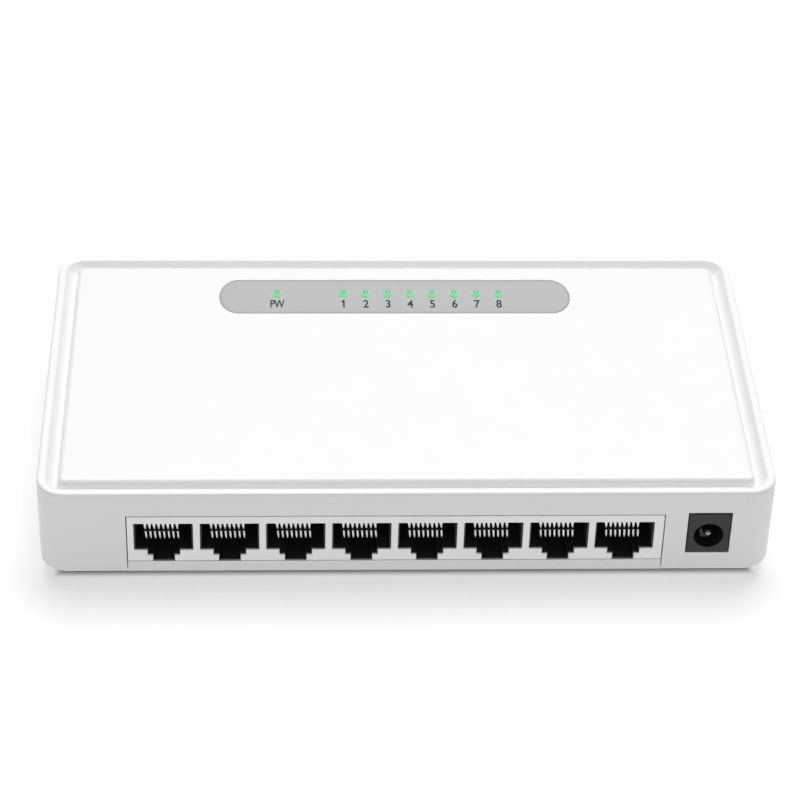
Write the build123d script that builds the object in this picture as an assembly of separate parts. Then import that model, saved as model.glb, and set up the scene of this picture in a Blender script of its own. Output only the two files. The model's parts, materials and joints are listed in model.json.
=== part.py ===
from build123d import *
from math import cos, radians, sin
import os

os.makedirs("parts", exist_ok=True)

# A desktop network switch with eight ports and a power inlet. Millimetres.
# The origin is under the middle of the case, at the height of the feet's undersides.
# +X is to the right as seen from the port side, +Y points to the back, +Z is up.

# Case
case_width = 156.4
case_depth = 88.2
skirt_height = 21.0  # from the skirt's lower edge to the top of the lip
skirt_corner_radius = 6.0
wall = 2.0
lip_rounding = 0.7
lip_width = 1.8  # from the outer face to where the groove's slope starts
slope_width = 2.1
groove_depth = 2.4
groove_flat = 0.5  # from the slope's foot to the plateau's wall
lip_softening = 0.35
plateau_rounding = 1.0
roof_over_groove = 1.6
roof_thickness = 2.0
plateau_inset = 6.2  # inside this the ceiling is higher

# Base
foot_proud = 1.2
foot_radius = 4.5
foot_recess = 0.5
foot_rounding = 0.4
foot_inset_x = 17.7  # from the case's outer faces to the foot's axis
foot_inset_y = 12.7
pan_drop = 2.8  # how far the pan hangs below the skirt's lower edge
floor_thickness = 1.8
rim_inset = 1.0
rim_height = 0.8
pan_slope_width = 4.3
rib_height = 1.5
rib_width = 1.05
seam = 0.12  # gap at each parting line between visible pieces

# Circuit board
board_thickness = 1.2
board_above_skirt_edge = 2.0  # top face of the board over the skirt's lower edge
board_setback = 2.4  # front face of the case to the front edge of the board
board_side_gap = 9.3
board_left_gap = 14.7
board_back_gap = 8.5
tail_length = 0.8  # how far the leads stand out under the board

# Port block: eight openings side by side
port_count = 8
port_pitch = 13.97
port_window_width = 12.5
port_window_height = 7.1
shoulder_height = 3.8  # of the window's lower edge over the board
step_width = 6.9
step_height = 1.4
latch_width = 4.6
latch_height = 1.63
block_depth = 16.1
block_roof = 0.5  # over the wires' channel
cavity_side_gap = 0.3  # the cavity is this much narrower on each side than the window
cavity_depth = 11.6
latch_depth = 9.0
channel_height = 0.65
channel_width = 8.6
peg_radius = 1.55
peg_length = 1.4
peg_setback = 8.0

# Contacts
wires_per_port = 8
wire_pitch = 0.97
wire_offset = -0.43  # of the wires' middle from the window's middle
wire_radius = 0.23
wire_lift = 0.33  # axis of the fixed run over the cavity's ceiling
wire_bend = 0.6
pivot_setback = 1.5  # from the front face of the case
pivot_drop = 0.21  # under the cavity's ceiling
spring_slope = 86.0
spring_length = 4.6
spring_tip = 0.45
comb_place = 2.45  # along the spring from its pivot
comb_length = 0.5
comb_thickness = 0.6
comb_overhang = 0.25
tail_rows = (15.2, 16.2)  # from the front face of the case
carrier_depth = 2.3
carrier_side_gap = 0.45

# Bezel around the ports
bezel_left = 18.9  # from the case's left face
bezel_left_margin = 1.4
bezel_right_margin = 2.0
bezel_thickness = 0.5
bezel_top_margin = 1.9
bezel_hook = 1.0
bezel_hook_gap = 1.2  # from the hook to the ceiling under the groove
bezel_rail = 0.8
bezel_chamfer = 0.15

# Power inlet
inlet_right = 14.1  # from the case's right face to the inlet's axis
inlet_width = 9.0
inlet_height = 10.5
inlet_axis_height = 7.2  # over the board
inlet_below_axis = 4.5
inlet_depth = 14.2
inlet_bore_radius = 3.2
inlet_bore_depth = 9.6
inlet_pin_radius = 1.05
inlet_pin_setback = 0.4
inlet_root_radius = 1.4
inlet_gap = 0.15
blade_thickness = 0.3
blade_width = 2.5
leaf_width = 2.2
leaf_length = 5.2
leaf_rise = 0.55
leaf_setback = 9.0
leaf_drop = 3.65
leaf_slot_depth = 1.7
leaf_clearance = 0.25

# Indicators
label_length = 80.4
label_width = 13.2
label_corner_radius = 4.4
label_thickness = 0.5
label_back = 16.6  # from the case's back face to the label's middle
label_offset = -0.6
led_row_back = 15.95
led_pitch = 5.08
first_led = -12.4
power_led_gap = 3  # in pitches
guide_radius = 0.95
guide_gap = 0.06
guide_proud = 1.1  # how far the guides' round tips stand over the label
guide_rounding = 0.85
guide_bar_width = 3.2
guide_bar_height = 1.6
led_size = (2.0, 1.25, 0.8)
led_air = 0.3

# Screws
boss_inset_x = 10.2
boss_inset_y = 19.7
boss_radius = 2.8
boss_gap = 0.6
case_screw_radius = 1.03
case_screw_length = 10.0
case_screw_head_radius = 2.3
case_screw_head_height = 1.3
post_radius = 2.6
board_screw_radius = 0.93
board_screw_length = 4.0
board_screw_head_radius = 2.2
board_screw_head_height = 1.2
screw_head_rounding = 0.5
screw_head_gap = 0.3
post_inset_front = 3.6  # from the board's left edge to the front left post
post_inset_back = 6.5
post_behind_block = 7.0
post_from_board_back = 5.0
post_from_inlet = 8.2
screw_gap = 0.02
through_gap = 0.4
recess_width = 0.5
recess_depth = 0.7

# Parts on the board
seat_gap = 0.1  # under a part that stands on its leads
lead_root = 0.2  # how far a lead reaches into its part
magnetics_size = (17.8, 9.0, 5.5)
magnetics_leads = 8
magnetics_behind_block = 3.0
magnetics_lead = (0.5, 1.2, 0.35)  # width, reach and height
chip_size = (20.0, 14.0, 1.4)
chip_leads = (18, 12)  # along each long side and each short side
chip_lead = (0.24, 1.0, 0.25)
chip_from_lamps = 24.0
regulator_size = (5.0, 4.0, 1.6)
regulator_leads = 4
regulator_lead = (0.4, 0.9, 0.3)
choke_side = 6.0
choke_height = 3.2
choke_flange = 0.8
choke_drum_radius = 2.2
crystal_length = 10.4
crystal_width = 3.9
crystal_height = 3.4
crystal_flange = 0.5
input_can = (4.0, 11.0)  # radius and height
output_can = (3.15, 7.0)
can_groove_height = 1.6
can_groove_width = 0.6
can_groove_depth = 0.35
resistor_size = (1.6, 0.8, 0.5)
lamp_resistor_size = (0.8, 1.6, 0.5)
filter_size = (2.0, 1.25, 1.1)
filter_columns = 6
filter_pitch = 4.4
filter_from_chip = 11.0
supply_from_chip = 7.0  # the choke and the regulator stand this far behind the chip's middle
output_from_inlet = 17.5  # the choke and the output can stand this far left of the inlet

# Levels and places that follow
skirt_edge = foot_proud + pan_drop
lip_top = skirt_edge + skirt_height
front = -case_depth / 2
back = case_depth / 2
left = -case_width / 2
right = case_width / 2
board_top = skirt_edge + board_above_skirt_edge
board_bottom = board_top - board_thickness
lead_end = board_bottom - tail_length
floor_top = foot_proud + floor_thickness
groove_inset = lip_width + slope_width
wall_inset = groove_inset + groove_flat
groove_floor = lip_top - groove_depth
low_ceiling = groove_floor - roof_over_groove
high_ceiling = lip_top - roof_thickness
shoulder = board_top + shoulder_height
window_top = shoulder + port_window_height
step_bottom = shoulder - step_height
latch_bottom = step_bottom - latch_height
cavity_top = window_top - cavity_side_gap / 2
cavity_width = port_window_width - 2 * cavity_side_gap
bezel_x0 = left + bezel_left
first_port = bezel_x0 + bezel_left_margin + port_window_width / 2
port_places = [first_port + i * port_pitch for i in range(port_count)]
bezel_x1 = port_places[-1] + port_window_width / 2 + bezel_right_margin
bezel_bottom = latch_bottom
bezel_top = window_top + bezel_top_margin
block_front = front + bezel_thickness
block_back = block_front + block_depth
block_top = cavity_top + channel_height + block_roof
wire_axis = cavity_top + wire_lift
pivot_y = front + pivot_setback
pivot_z = cavity_top - pivot_drop
carrier_front = block_front + cavity_depth
inlet_x = right - inlet_right
inlet_z = board_top + inlet_axis_height
inlet_bottom = inlet_z - inlet_below_axis
leaf_y = front + leaf_setback
leaf_z = inlet_z - leaf_drop
led_y = back - led_row_back
label_y = back - label_back
led_places = [first_led - power_led_gap * led_pitch] + [
    first_led + i * led_pitch for i in range(port_count)
]
label_top = lip_top
boss_places = [
    (sx * (right - boss_inset_x), sy * (back - boss_inset_y)) for sx in (-1, 1) for sy in (-1, 1)
]
foot_places = [
    (sx * (right - foot_inset_x), sy * (back - foot_inset_y)) for sx in (-1, 1) for sy in (-1, 1)
]
board_x0 = left + board_left_gap
board_x1 = right - board_side_gap
board_y0 = front + board_setback
board_y1 = back - board_back_gap
post_places = [
    (board_x0 + post_inset_front, block_back + post_behind_block),
    (inlet_x - post_from_inlet, block_back + post_behind_block),
    (board_x0 + post_inset_back, board_y1 - post_from_board_back),
    (inlet_x - post_from_inlet, board_y1 - post_from_board_back),
]
chip_y = led_y - chip_from_lamps
peg_places = [(port_places[i], block_front + peg_setback) for i in (0, 2, 5, 7)]


def block(x0, x1, y0, y1, z0, z1):
    """A rectangular block between two corners."""
    return Pos((x0 + x1) / 2, (y0 + y1) / 2, (z0 + z1) / 2) * Box(x1 - x0, y1 - y0, z1 - z0)


def post(x, y, radius, z0, z1):
    """An upright cylinder."""
    return Pos(x, y, (z0 + z1) / 2) * Cylinder(radius, z1 - z0)


def barrel(x, z, radius, y0, y1):
    """A cylinder along Y."""
    return Pos(x, (y0 + y1) / 2, z) * Rot(90, 0, 0) * Cylinder(radius, y1 - y0)


def outline(inset, z):
    """The case's plan outline, drawn in by an inset, at a height."""
    sketch = RectangleRounded(
        case_width - 2 * inset, case_depth - 2 * inset, max(skirt_corner_radius - inset, 0.6)
    )
    return Pos(0, 0, z) * sketch


def slab(inset, z0, z1):
    """A plate of the case's plan outline."""
    return extrude(outline(inset, z0), z1 - z0)


def union(shapes):
    """One shape from a list that touch or overlap."""
    first, *rest = shapes
    return first.fuse(*rest) if rest else first


def on_inset(edge, inset, z):
    """Whether an edge runs along the outline at this inset and height."""
    p = edge @ 0
    along_x = abs(abs(p.X) - (case_width / 2 - inset)) < 0.01
    along_y = abs(abs(p.Y) - (case_depth / 2 - inset)) < 0.01
    return abs((edge @ 0.5).Z - z) < 0.01 and (along_x or along_y)


def top_cover():
    """The upper shell: a skirt, a lip, a groove inside the lip and a plateau."""
    shell = slab(0, skirt_edge, lip_top)
    shell = fillet(shell.faces().sort_by(Axis.Z)[-1].edges(), lip_rounding)
    slope = loft([outline(groove_inset, groove_floor), outline(lip_width, lip_top)], ruled=True)
    shell -= slope
    soft = [e for e in shell.edges() if on_inset(e, lip_width, lip_top)]
    shell = fillet(soft, lip_softening)
    plateau = slab(wall_inset, groove_floor, lip_top)
    shell += fillet(plateau.faces().sort_by(Axis.Z)[-1].edges(), plateau_rounding)
    shell -= slab(wall, skirt_edge, low_ceiling)
    shell -= slab(plateau_inset, low_ceiling, high_ceiling)
    for x, y in boss_places:
        shell += post(x, y, boss_radius, board_top + boss_gap, high_ceiling)
        shell -= post(x, y, case_screw_radius + screw_gap, board_top + boss_gap, case_screw_top() + 1.0)
    shell -= block(
        bezel_x0 - seam, bezel_x1 + seam, front, front + wall, skirt_edge, bezel_top + seam
    )
    shell -= block(
        inlet_x - inlet_width / 2 - inlet_gap,
        inlet_x + inlet_width / 2 + inlet_gap,
        front,
        front + wall,
        inlet_bottom - inlet_gap,
        inlet_bottom + inlet_height + inlet_gap,
    )
    shell -= extrude(label_sketch(0, label_top - label_thickness), label_thickness)
    for x in led_places:
        shell -= post(x, led_y, guide_radius + guide_gap, high_ceiling, lip_top)
    return shell


def label_sketch(inset, z):
    """The outline of the indicator label, with large round corners."""
    sketch = RectangleRounded(
        label_length - 2 * inset, label_width - 2 * inset, label_corner_radius - inset
    )
    return Pos(label_offset, label_y, z) * sketch


def indicator_label():
    """A grey overlay with a hole for each light guide."""
    label = extrude(label_sketch(seam / 2, label_top - label_thickness), label_thickness)
    for x in led_places:
        label -= post(x, led_y, guide_radius + guide_gap, label_top - label_thickness, label_top)
    return label


def light_guide():
    """Nine clear posts on a bar, from just over the lamps through the label, with round tips."""
    middle = (led_places[0] + led_places[-1]) / 2
    half = (led_places[-1] - led_places[0]) / 2 + 2.0
    bar = block(
        middle - half,
        middle + half,
        led_y - guide_bar_width / 2,
        led_y + guide_bar_width / 2,
        high_ceiling - guide_bar_height,
        high_ceiling,
    )
    low = board_top + led_size[2] + led_air
    guide = post(0, led_y, guide_radius, low, label_top + guide_proud)
    guide = fillet(guide.faces().sort_by(Axis.Z)[-1].edges(), guide_rounding)
    return union([bar] + [Pos(x, 0, 0) * guide for x in led_places])


def indicator_leds():
    """A lamp on the board under each light guide."""
    x, y, z = led_size
    return Compound([Pos(px, led_y, board_top + z / 2) * Box(x, y, z) for px in led_places])


def base_cover():
    """The lower pan with its rim, locating rib, posts and the strip under the bezel."""
    rim_bottom = skirt_edge - rim_height
    pan = slab(rim_inset, rim_bottom, skirt_edge)
    pan += loft(
        [outline(rim_inset + pan_slope_width, foot_proud), outline(rim_inset, rim_bottom)], ruled=True
    )
    pan -= slab(wall + seam + rib_width, floor_top, skirt_edge)
    rib = slab(wall + seam, skirt_edge, skirt_edge + rib_height)
    rib -= slab(wall + seam + rib_width, skirt_edge, skirt_edge + rib_height)
    rib -= block(left, right, front, front + skirt_corner_radius, skirt_edge, skirt_edge + rib_height)
    pan += rib
    strip_step = board_top - seam
    pan += block(bezel_x0, bezel_x1, front, front + wall, skirt_edge, strip_step)
    pan += block(bezel_x0, bezel_x1, front, block_front, strip_step, bezel_bottom - seam)
    for x, y in boss_places:
        pan += post(x, y, boss_radius, floor_top, board_top + boss_gap)
        pan -= post(x, y, case_screw_radius + through_gap, foot_proud, board_top + boss_gap)
        pan -= post(x, y, case_screw_head_radius + screw_head_gap, foot_proud, case_screw_seat())
    for x, y in post_places:
        pan += post(x, y, post_radius, floor_top, board_bottom)
        pan -= post(x, y, board_screw_radius + screw_gap, board_screw_end(), board_bottom)
    for x, y in foot_places:
        pan -= post(x, y, foot_radius + 0.05, foot_proud, foot_proud + foot_recess)
    return pan


def case_screw_seat():
    """Height of the case screws' bearing face."""
    return foot_proud + case_screw_head_height


def case_screw_top():
    """Height of the case screws' tips."""
    return case_screw_seat() + case_screw_length


def board_screw_end():
    """Height of the bottom of the board screws' pilot holes."""
    return board_top - board_screw_length - 0.1


def cross_recess(x, y, z0, z1):
    """The tool that cuts a cross into a screw's head."""
    reach = board_screw_head_radius * 0.65
    half = recess_width / 2
    return block(x - reach, x + reach, y - half, y + half, z0, z1) + block(
        x - half, x + half, y - reach, y + reach, z0, z1
    )


def case_screws():
    """Four pan-head screws, driven from below into the cover's bosses."""
    screws = []
    for x, y in boss_places:
        head = post(x, y, case_screw_head_radius, foot_proud, case_screw_seat())
        head = fillet(head.faces().sort_by(Axis.Z)[0].edges(), screw_head_rounding)
        screw = head + post(x, y, case_screw_radius, case_screw_seat(), case_screw_top())
        screws.append(screw - cross_recess(x, y, foot_proud, foot_proud + recess_depth))
    return Compound(screws)


def board_screws():
    """Four pan-head screws that hold the board on the pan's posts."""
    screws = []
    for x, y in post_places:
        top = board_top + board_screw_head_height
        head = post(x, y, board_screw_head_radius, board_top, top)
        head = fillet(head.faces().sort_by(Axis.Z)[-1].edges(), screw_head_rounding)
        screw = head + post(x, y, board_screw_radius, board_top - board_screw_length, board_top)
        screws.append(screw - cross_recess(x, y, top - recess_depth, top))
    return Compound(screws)


def rubber_feet():
    """Four round feet, set into the pan's recesses."""
    feet = []
    for x, y in foot_places:
        foot = post(x, y, foot_radius, 0, foot_proud + foot_recess)
        feet.append(fillet(foot.faces().sort_by(Axis.Z)[0].edges(), foot_rounding))
    return Compound(feet)


def port_bezel():
    """The plate round the eight openings, hooked behind the cover's front wall."""
    plate = block(bezel_x0, bezel_x1, front, front + bezel_thickness, bezel_bottom, bezel_top)
    plate = chamfer(plate.faces().sort_by(Axis.Y)[0].edges(), bezel_chamfer)
    hook_y = front + wall + seam
    rail_bottom = bezel_top - bezel_rail
    hook_top = low_ceiling - bezel_hook_gap
    plate += block(
        bezel_x0, bezel_x1, front + bezel_thickness / 2, hook_y + bezel_hook, rail_bottom, bezel_top - 0.2
    )
    plate += block(bezel_x0, bezel_x1, hook_y, hook_y + bezel_hook, rail_bottom, hook_top)
    far = front + bezel_thickness
    half = port_window_width / 2
    for x in port_places:
        window = block(x - half, x + half, front, far, shoulder, window_top)
        window += block(x - step_width / 2, x + step_width / 2, front, far, step_bottom, shoulder)
        window += block(x - latch_width / 2, x + latch_width / 2, front, far, latch_bottom, shoulder)
        plate -= window
    return plate


def port_block():
    """The black moulding with eight side-by-side cavities."""
    x0 = port_places[0] - port_pitch / 2
    x1 = port_places[-1] + port_pitch / 2
    body = block(x0, x1, block_front, block_back, board_top, block_top)
    tools = []
    half = cavity_width / 2
    inner = cavity_side_gap / 2
    for x in port_places:
        tools.append(block(x - half, x + half, block_front, carrier_front, shoulder + inner, cavity_top))
        step = step_width / 2 - inner
        tools.append(block(x - step, x + step, block_front, carrier_front, step_bottom + inner, cavity_top))
        latch = latch_width / 2 - inner
        deep = block_front + latch_depth
        tools.append(block(x - latch, x + latch, block_front, deep, latch_bottom + inner, cavity_top))
        run = channel_width / 2
        top = cavity_top + channel_height
        tools.append(block(x - run, x + run, block_front + cavity_side_gap, block_back, shoulder, top))
        side = half - carrier_side_gap + 0.1
        tools.append(block(x - side, x + side, carrier_front, block_back, board_top, top))
    body = body.cut(*tools)
    for x, y in peg_places:
        body += post(x, y, peg_radius, board_top - peg_length, board_top)
    return body


def contact_carrier(x):
    """The black insert behind one cavity, which the wires pass over and behind."""
    half = cavity_width / 2 - carrier_side_gap
    return block(x - half, x + half, carrier_front, carrier_front + carrier_depth, board_top, cavity_top)


def wire_places(x):
    """The eight wires' places across one port."""
    middle = x + wire_offset
    return [middle + (i - (wires_per_port - 1) / 2) * wire_pitch for i in range(wires_per_port)]


def contact_tail(x, drop_y):
    """One wire's fixed run: forward under the roof, and down behind the carrier into the board."""
    start = (x, pivot_y - wire_radius / 2, wire_axis)
    path = FilletPolyline(start, (x, drop_y, wire_axis), (x, drop_y, lead_end), radius=wire_bend)
    return sweep(Plane(path @ 0, z_dir=path % 0) * Circle(wire_radius), path)


def contact_tails():
    """The fixed runs of all the contact wires."""
    tails = []
    rows = [contact_tail(0, front + setback) for setback in tail_rows]
    for port in port_places:
        for i, x in enumerate(wire_places(port)):
            tails.append(Pos(x, 0, 0) * rows[i % 2])
    return Compound(tails)


def spring_point(along):
    """Y and Z of a point on the springs' axis, at a distance from the pivot."""
    slope = radians(spring_slope)
    return pivot_y + along * cos(slope), pivot_z - along * sin(slope)


def contact_springs(x):
    """The eight free wires of one port, which hang across its mouth."""
    elbow = spring_point(spring_length)
    wires = []
    for wx in wire_places(0):
        run = Pos(wx, *spring_point(spring_length / 2)) * Rot(90 - spring_slope, 0, 0)
        wire = run * Cylinder(wire_radius, spring_length)
        wire += Pos(wx, pivot_y, pivot_z) * Sphere(wire_radius)
        wire += Pos(wx, *elbow) * Sphere(wire_radius)
        wire += post(wx, elbow[0], wire_radius, elbow[1] - spring_tip, elbow[1])
        wires.append(wire)
    return Compound([Pos(x, 0, 0) * w for w in wires])


def contact_comb(x):
    """The moulded bar that keeps one port's eight springs apart."""
    width = (wires_per_port - 1) * wire_pitch + 2 * (wire_radius + comb_overhang)
    turn = Rot(90 - spring_slope, 0, 0)
    bar = Pos(x + wire_offset, *spring_point(comb_place)) * turn * Box(width, comb_thickness, comb_length)
    hole = turn * Cylinder(wire_radius, comb_length)
    return bar.cut(*[Pos(wx, *spring_point(comb_place)) * hole for wx in wire_places(x)])


def inlet_housing():
    """The power inlet's moulding: a flange in the front wall and a body on the board."""
    half = inlet_width / 2
    rear = front + inlet_depth
    flange_back = front + wall + inlet_gap
    body = block(
        inlet_x - half, inlet_x + half, front, flange_back, inlet_bottom, inlet_bottom + inlet_height
    )
    body = chamfer(body.faces().sort_by(Axis.Y)[0].edges(), 0.2)
    body += block(inlet_x - half, inlet_x + half, flange_back, rear, board_top, inlet_z)
    body += barrel(inlet_x, inlet_z, half, flange_back, rear)
    bore_end = front + inlet_bore_depth
    body -= barrel(inlet_x, inlet_z, inlet_bore_radius, front, bore_end)
    body -= barrel(inlet_x, inlet_z, inlet_root_radius, bore_end, rear)
    slot = leaf_width / 2 + leaf_clearance
    body -= block(
        inlet_x - slot,
        inlet_x + slot,
        leaf_y - leaf_length - 0.6,
        bore_end,
        leaf_z - leaf_slot_depth,
        inlet_z - inlet_bore_radius / 2,
    )
    blade = blade_width / 2
    body -= block(
        inlet_x - blade, inlet_x + blade, bore_end, bore_end + blade_thickness, board_top, leaf_z
    )
    return body


def inlet_pin():
    """The inlet's centre pin, with a round tip and a thicker root in the back of the moulding."""
    bore_end = front + inlet_bore_depth
    pin = barrel(inlet_x, inlet_z, inlet_pin_radius, front + inlet_pin_setback, bore_end)
    pin = fillet(pin.faces().sort_by(Axis.Y)[0].edges(), inlet_pin_radius * 0.6)
    return pin + barrel(inlet_x, inlet_z, inlet_root_radius, bore_end, front + inlet_depth)


def inlet_leaf():
    """The sprung leaf that presses on a plug's sleeve, with its rounded crest."""
    half = leaf_width / 2
    crest = leaf_y - leaf_length * 0.72
    points = [
        (leaf_y, leaf_z),
        (crest + 0.7, leaf_z + leaf_rise),
        (crest, leaf_z + leaf_rise + 0.35),
        (crest - 0.7, leaf_z + leaf_rise),
        (leaf_y - leaf_length, leaf_z + leaf_rise - 0.35),
    ]
    upper = [(y, z + blade_thickness / 2) for y, z in points]
    lower = [(y, z - blade_thickness / 2) for y, z in reversed(points)]
    side = make_face(Polyline(*[(0, y, z) for y, z in upper + lower], close=True))
    strip = Pos(inlet_x - half, 0, 0) * extrude(side, leaf_width, dir=(1, 0, 0))
    knuckle = Pos(inlet_x, leaf_y, leaf_z) * Rot(0, 90, 0) * Cylinder(blade_thickness / 2, leaf_width)
    return strip + knuckle


def blade_boxes():
    """The corners of the inlet's three board blades."""
    bore_end = front + inlet_bore_depth
    rear = front + inlet_depth
    half = blade_width / 2
    side = inlet_x - inlet_width / 2
    thick = blade_thickness
    return [
        (inlet_x - half, inlet_x + half, rear, rear + thick, lead_end, inlet_z + half),
        (inlet_x - half, inlet_x + half, bore_end, bore_end + thick, lead_end, leaf_z),
        (side - thick, side, front + 5.5, front + 5.5 + blade_width, lead_end, inlet_z),
    ]


def inlet_blades():
    """The three blades that take the inlet's current into the board."""
    return Compound([block(*box) for box in blade_boxes()])


def main_board():
    """The circuit board, with its holes for leads, pegs and screws, notched round the bosses."""
    board = block(board_x0, board_x1, board_y0, board_y1, board_bottom, board_top)
    tools = [post(x, y, boss_radius + 0.5, board_bottom, board_top) for x, y in boss_places]
    tools += [
        post(x, y, board_screw_radius + through_gap, board_bottom, board_top) for x, y in post_places
    ]
    tools += [post(x, y, peg_radius + 0.05, board_bottom, board_top) for x, y in peg_places]
    for port in port_places:
        for i, x in enumerate(wire_places(port)):
            tools.append(post(x, front + tail_rows[i % 2], wire_radius * 1.8, board_bottom, board_top))
    for x0, x1, y0, y1, _, _ in blade_boxes():
        tools.append(block(x0 - 0.2, x1 + 0.2, y0 - 0.2, y1 + 0.2, board_bottom, board_top))
    return board.cut(*tools)


def magnetics(x):
    """One transformer module, for two ports, with gull-wing leads along both long sides."""
    length, depth, height = magnetics_size
    y = block_back + magnetics_behind_block + depth / 2
    low = board_top + seat_gap
    body = block(x - length / 2, x + length / 2, y - depth / 2, y + depth / 2, low, board_top + height)
    body = chamfer(body.faces().sort_by(Axis.Z)[-1].edges(), 0.4)
    width, reach, thick = magnetics_lead
    leads = []
    for i in range(magnetics_leads):
        lx = x + (i - (magnetics_leads - 1) / 2) * length / (magnetics_leads + 0.5)
        for side in (-1, 1):
            side_y = y + side * depth / 2
            y0, y1 = sorted((side_y - side * lead_root, side_y + side * reach))
            leads.append(block(lx - width / 2, lx + width / 2, y0, y1, board_top, board_top + thick))
    return union([body] + leads)


def switch_chip():
    """The switching chip with its rows of leads."""
    length, depth, height = chip_size
    y = chip_y
    low = board_top + seat_gap
    body = block(-length / 2, length / 2, y - depth / 2, y + depth / 2, low, board_top + height)
    body = chamfer(body.faces().sort_by(Axis.Z)[-1].edges(), 0.15)
    width, reach, thick = chip_lead
    leads = []
    for count, across, along in ((chip_leads[0], depth, length), (chip_leads[1], length, depth)):
        pitch = (along - 2.0) / (count - 1)
        for i in range(count):
            place = (i - (count - 1) / 2) * pitch
            for side in (-1, 1):
                a, b = sorted((side * (across / 2 - lead_root), side * (across / 2 + reach)))
                lead = (place - width / 2, place + width / 2, y + a, y + b)
                if across == length:
                    lead = (a, b, y + place - width / 2, y + place + width / 2)
                leads.append(block(*lead, board_top, board_top + thick))
    return union([body] + leads)


def capacitor(x, y, size):
    """An upright can capacitor with a groove near its foot."""
    radius, height = size
    can = post(x, y, radius, board_top, board_top + height)
    can = fillet(can.faces().sort_by(Axis.Z)[-1].edges(), 0.5)
    low = board_top + can_groove_height
    high = low + can_groove_width
    return can - (post(x, y, radius + 1, low, high) - post(x, y, radius - can_groove_depth, low, high))


def power_inductor(x, y):
    """A square choke: a drum between two flanges."""
    half = choke_side / 2
    top = board_top + choke_height
    base = block(x - half, x + half, y - half, y + half, board_top, board_top + choke_flange)
    drum = post(x, y, choke_drum_radius, board_top, top)
    return base + drum + block(x - half, x + half, y - half, y + half, top - choke_flange, top)


def power_regulator(x, y):
    """An eight-lead converter chip."""
    length, depth, height = regulator_size
    low = board_top + seat_gap
    body = block(x - length / 2, x + length / 2, y - depth / 2, y + depth / 2, low, board_top + height)
    width, reach, thick = regulator_lead
    leads = []
    for i in range(regulator_leads):
        lx = x + (i - (regulator_leads - 1) / 2) * length / regulator_leads
        for side in (-1, 1):
            side_y = y + side * depth / 2
            y0, y1 = sorted((side_y - side * lead_root, side_y + side * reach))
            leads.append(block(lx - width / 2, lx + width / 2, y0, y1, board_top, board_top + thick))
    return union([body] + leads)


def clock_crystal(x, y):
    """A low crystal can on its flange."""
    brim = 2 * crystal_flange
    flange_shape = SlotOverall(crystal_length + brim, crystal_width + brim)
    flange = extrude(Pos(x, y, board_top) * flange_shape, crystal_flange)
    can = extrude(Pos(x, y, board_top) * SlotOverall(crystal_length, crystal_width), crystal_height)
    return flange + fillet(can.faces().sort_by(Axis.Z)[-1].edges(), 0.4)


def chip_parts(size, places):
    """Small two-ended parts on the board, one solid each."""
    length, depth, height = size
    return Compound([Pos(x, y, board_top + height / 2) * Box(length, depth, height) for x, y in places])


def build():
    """Make every piece, by name."""
    supply_y = chip_y + supply_from_chip
    parts = {
        "top_cover": top_cover(),
        "base_cover": base_cover(),
        "port_bezel": port_bezel(),
        "indicator_label": indicator_label(),
        "light_guide": light_guide(),
        "indicator_leds": indicator_leds(),
        "main_board": main_board(),
        "port_block": port_block(),
        "contact_tails": contact_tails(),
        "inlet_housing": inlet_housing(),
        "inlet_pin": inlet_pin(),
        "inlet_leaf": inlet_leaf(),
        "inlet_blades": inlet_blades(),
        "switch_chip": switch_chip(),
        "input_capacitor": capacitor(inlet_x - 5.0, block_back + 15.0, input_can),
        "output_capacitor": capacitor(inlet_x - output_from_inlet, block_back + 21.5, output_can),
        "power_inductor": power_inductor(inlet_x - output_from_inlet, supply_y),
        "power_regulator": power_regulator(inlet_x - 7.5, supply_y),
        "clock_crystal": clock_crystal(-24.0, chip_y + 2.0),
        "case_screws": case_screws(),
        "board_screws": board_screws(),
        "rubber_feet": rubber_feet(),
    }
    line_y = block_back + magnetics_behind_block + magnetics_size[1] + 4.0
    resistor_places = [(port + dx, line_y) for port in port_places for dx in (-2.4, 2.4)]
    parts["line_resistors"] = chip_parts(resistor_size, resistor_places)
    lamp_places = [(x, led_y - 4.5) for x in led_places]
    parts["lamp_resistors"] = chip_parts(lamp_resistor_size, lamp_places)
    filter_places = [
        ((i - (filter_columns - 1) / 2) * filter_pitch, chip_y + side * filter_from_chip)
        for i in range(filter_columns)
        for side in (-1, 1)
    ]
    parts["filter_capacitors"] = chip_parts(filter_size, filter_places)
    for i, x in enumerate(port_places, 1):
        parts[f"contact_carrier_{i}"] = contact_carrier(x)
        parts[f"contact_springs_{i}"] = contact_springs(x)
        parts[f"contact_comb_{i}"] = contact_comb(x)
    for i in range(port_count // 2):
        middle = (port_places[2 * i] + port_places[2 * i + 1]) / 2
        parts[f"magnetics_{i + 1}"] = magnetics(middle)
    return parts


for name, shape in build().items():
    export_step(shape, f"parts/{name}.step")
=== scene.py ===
"""Looks of an eight-port desktop network switch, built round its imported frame.

Metres, +Z up, the ports face -Y. Visible shells and trims are surfaces worked out with numpy, and the
pieces inside the case keep their frame meshes and get finishes.
"""

import json
import logging
import math
from dataclasses import dataclass, field
from enum import Enum

import bmesh
import bpy
import numpy as np
from mathutils import Matrix, Vector


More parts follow.
